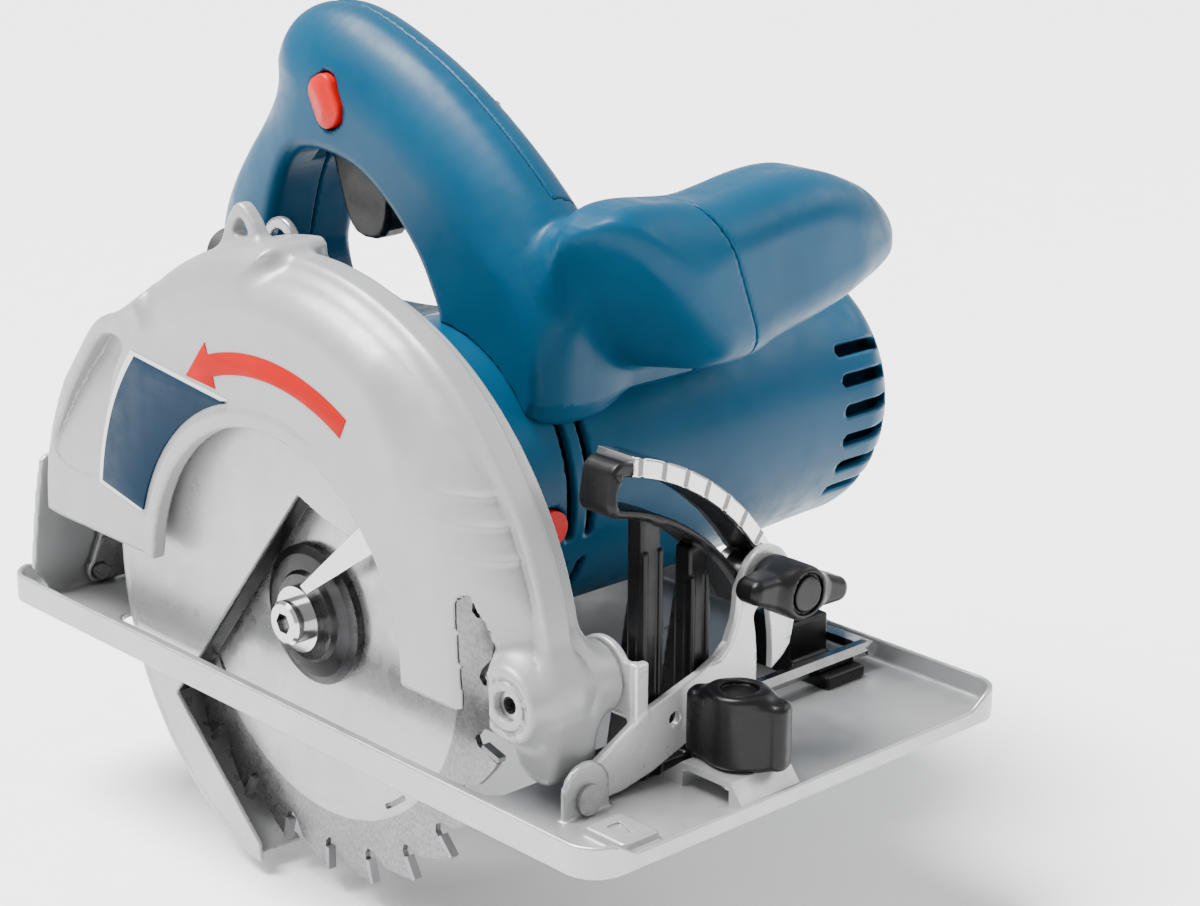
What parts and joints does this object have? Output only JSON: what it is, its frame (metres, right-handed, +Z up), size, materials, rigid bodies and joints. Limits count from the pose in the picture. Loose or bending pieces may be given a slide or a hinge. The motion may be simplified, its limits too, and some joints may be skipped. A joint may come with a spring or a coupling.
{
  "type": "hand-held circular saw",
  "caption": "Corded hand-held circular saw with a fixed upper guard, swinging lower guard, tilting depth-adjustable base plate, D handle and front handle.",
  "frame": {"origin": "centre of the base plate's underside, in the plane that slides on the workpiece", "axes": "+X forward, the way the saw cuts; +Y towards the motor side; +Z up, normal to the base plate"},
  "size_m": [0.2723, 0.226, 0.2439],
  "materials": {
    "housing_plastic": "fine satin texture",
    "guard_coat": "satin light grey coat",
    "base_metal": "satin pressed metal",
    "bracket_metal": "satin",
    "plated_steel": "zinc plated",
    "blade_steel": "ground",
    "carbide": "matt",
    "black_plastic": "satin",
    "red_plastic": "semi-gloss",
    "panel_film": "semi-gloss",
    "chrome_scale": "ribbed",
    "case_metal": "die cast",
    "bearing_steel": "polished",
    "bronze": "sintered",
    "lamination": "varnished",
    "copper": "enamelled",
    "carbon": "matt",
    "rubber": "matt",
    "dark_flange": "blackened"
  },
  "bodies": {
    "base": {"base_plate": "base_metal", "bevel_quadrant": "black_plastic", "bevel_scale": "chrome_scale", "quadrant_screws": "plated_steel", "bevel_pins": "plated_steel", "hex_key_clip": "black_plastic", "hex_key": "plated_steel", "fence_bridge": "base_metal"},
    "fence_knob": {"fence_knob": "black_plastic"},
    "bevel_frame": {"front_bracket": "bracket_metal", "rear_bracket": "plated_steel", "depth_pivot_pin": "plated_steel", "bevel_bolt": "plated_steel"},
    "bevel_knob": {"bevel_knob": "black_plastic"},
    "saw_unit": {"upper_guard": "guard_coat", "guard_panel": "panel_film", "gear_housing": "case_metal", "bearing_bracket": "case_metal", "spindle_bearing": "bearing_steel", "spindle_bushing": "bronze", "front_armature_bearing": "bearing_steel", "rear_armature_bearing": "bearing_steel", "motor_housing": "housing_plastic", "stator_core": "lamination", "field_coils": "copper", "brush_holders": "bronze", "carbon_brushes": "carbon", "brush_springs": "plated_steel", "air_baffle": "black_plastic", "handle_half_right": "housing_plastic", "handle_half_left": "housing_plastic", "front_handle": "housing_plastic", "power_switch": "black_plastic", "cable_gland": "rubber", "housing_screws": "plated_steel", "guard_spring": "plated_steel", "guard_ring": "plated_steel", "depth_clamp_bolt": "plated_steel"},
    "depth_lever": {"depth_lever": "black_plastic"},
    "trigger": {"trigger": "black_plastic"},
    "lock_off_button": {"lock_off_button": "red_plastic"},
    "spindle_lock": {"spindle_lock_button": "red_plastic"},
    "spindle": {"spindle_shaft": "plated_steel", "spindle_gear": "plated_steel", "inner_flange": "dark_flange", "saw_blade": "blade_steel", "carbide_tips": "carbide", "outer_flange": "dark_flange", "blade_bolt": "plated_steel"},
    "armature": {"armature_shaft": "plated_steel", "rotor_core": "lamination", "rotor_windings": "copper", "commutator": "copper", "cooling_fan": "black_plastic"},
    "lower_guard": {"lower_guard": "guard_coat", "guard_tab": "plated_steel"}
  },
  "joints": [
    {"name": "bevel", "type": "hinge", "parent": "base", "child": "bevel_frame", "pos_m": [0, -0.056, 0.0065], "axis": [1, 0, 0], "range_deg": [0, 45]},
    {"name": "depth", "type": "hinge", "parent": "bevel_frame", "child": "saw_unit", "pos_m": [0.092, -0.05, 0.031], "axis": [0, 1, 0], "range_deg": [0, 33.5]},
    {"name": "spindle_spin", "type": "hinge", "parent": "saw_unit", "child": "spindle", "pos_m": [-0.003, -0.056, 0.026], "axis": [0, 1, 0], "continuous": true},
    {"name": "armature_spin", "type": "hinge", "parent": "saw_unit", "child": "armature", "pos_m": [-0.003, 0, 0.0524], "axis": [0, 1, 0], "continuous": true},
    {"name": "lower_guard_swing", "type": "hinge", "parent": "saw_unit", "child": "lower_guard", "pos_m": [-0.003, -0.049, 0.026], "axis": [0, 1, 0], "range_deg": [-93, 56], "stiffness_Nm_per_rad": 0.03, "springref_deg": -100.27},
    {"name": "bevel_knob_turn", "type": "hinge", "parent": "bevel_frame", "child": "bevel_knob", "pos_m": [0.11, 0.01184, 0.04889], "axis": [1, 0, 0], "range_deg": [0, 90]},
    {"name": "fence_knob_turn", "type": "hinge", "parent": "base", "child": "fence_knob", "pos_m": [0.122, -0.015, 0.02], "axis": [0, 0, 1], "range_deg": [0, 180]},
    {"name": "depth_lever_turn", "type": "hinge", "parent": "saw_unit", "child": "depth_lever", "pos_m": [-0.06578, -0.035, 0.03927], "axis": [0, 1, 0], "range_deg": [0, 60]},
    {"name": "trigger_pull", "type": "hinge", "parent": "saw_unit", "child": "trigger", "pos_m": [-0.038, 0.005, 0.151], "axis": [0, 1, 0], "range_deg": [0, 7], "stiffness_Nm_per_rad": 1, "springref_deg": -17.19},
    {"name": "lock_off_press", "type": "slide", "parent": "saw_unit", "child": "lock_off_button", "axis": [0, 1, 0], "range_m": [0, 0.003], "stiffness_N_per_m": 300, "springref_m": -0.003},
    {"name": "spindle_lock_press", "type": "slide", "parent": "saw_unit", "child": "spindle_lock", "axis": [-1, 0, 0], "range_m": [0, 0.0045], "stiffness_N_per_m": 400, "springref_m": -0.004}
  ],
  "couplings": [
    {"joint": "armature_spin", "follows": "spindle_spin", "ratio": -5}
  ]
}
